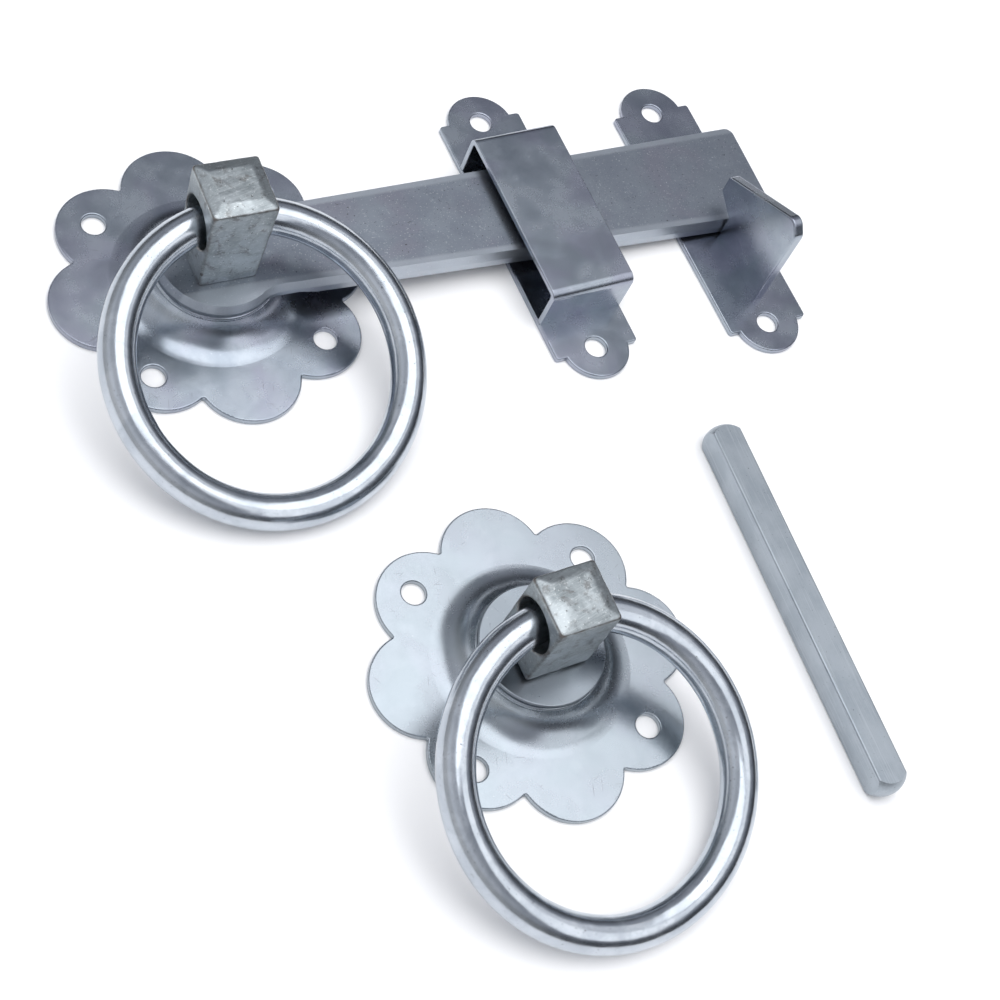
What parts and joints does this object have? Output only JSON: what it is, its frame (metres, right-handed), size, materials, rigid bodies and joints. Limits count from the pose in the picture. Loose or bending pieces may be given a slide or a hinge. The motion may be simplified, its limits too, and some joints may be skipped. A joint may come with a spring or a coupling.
{
  "type": "ring handle gate latch",
  "caption": "Ring-handle gate latch set laid flat: lobed rose plates, knobs with pull rings, latch bar, bar guide, hooked keep and a loose square spindle.",
  "frame": {"origin": "axis of the inside handle, in the plane of the board that the plates screw to", "axes": "+Z away from the board; +X from the inside handle towards the guide and keep, square to their lines of screw holes; +Y is up on a gate"},
  "size_m": [0.1963, 0.2232, 0.0402],
  "materials": {
    "zinc_sheet_dull": "bright zinc plate, satin, mottled",
    "zinc_sheet_pale": "bright zinc plate, pale, fine scratches",
    "zinc_bar": "bright zinc plate over hot-rolled bar, speckled",
    "zinc_forging": "zinc plate over a dull forged surface",
    "zinc_ring": "smooth bright zinc plate",
    "zinc_spindle": "zinc plated cold-drawn square bar"
  },
  "bodies": {
    "fixed_plates": {"inside_rose_plate": "zinc_sheet_dull", "guide_plate": "zinc_sheet_dull", "guide_bridge": "zinc_sheet_dull", "keep_plate": "zinc_sheet_dull", "keep_hook": "zinc_sheet_dull", "outside_rose_plate": "zinc_sheet_pale"},
    "inside_handle": {"inside_knob": "zinc_forging", "inside_rear_washer": "zinc_sheet_pale", "latch_bar": "zinc_bar"},
    "inside_pull_ring": {"inside_ring": "zinc_ring"},
    "outside_handle": {"outside_knob": "zinc_forging", "outside_front_washer": "zinc_sheet_pale", "outside_rear_washer": "zinc_sheet_pale"},
    "outside_pull_ring": {"outside_ring": "zinc_ring"},
    "loose_spindle": {"spindle": "zinc_spindle"}
  },
  "joints": [
    {"name": "latch_lift", "type": "hinge", "parent": "fixed_plates", "child": "inside_handle", "pos_m": [0, 0, 0], "axis": [0, 0, 1], "range_deg": [0, 3]},
    {"name": "inside_ring_swing", "type": "hinge", "parent": "inside_handle", "child": "inside_pull_ring", "pos_m": [0, 0, 0.0278], "axis": [-0.9994, 0.0349, 0], "range_deg": [0, 218]},
    {"name": "outside_knob_turn", "type": "hinge", "parent": "fixed_plates", "child": "outside_handle", "pos_m": [0.0346, -0.1141, 0], "axis": [0, 0, 1], "range_deg": [-30, 30]},
    {"name": "outside_ring_swing", "type": "hinge", "parent": "outside_handle", "child": "outside_pull_ring", "pos_m": [0.0346, -0.1141, 0.0258], "axis": [-1, 0, 0], "range_deg": [0, 200]},
    {"name": "spindle_lift", "type": "slide", "parent": "fixed_plates", "child": "loose_spindle", "axis": [0, 0, 1], "range_m": [0, 0.05]}
  ]
}
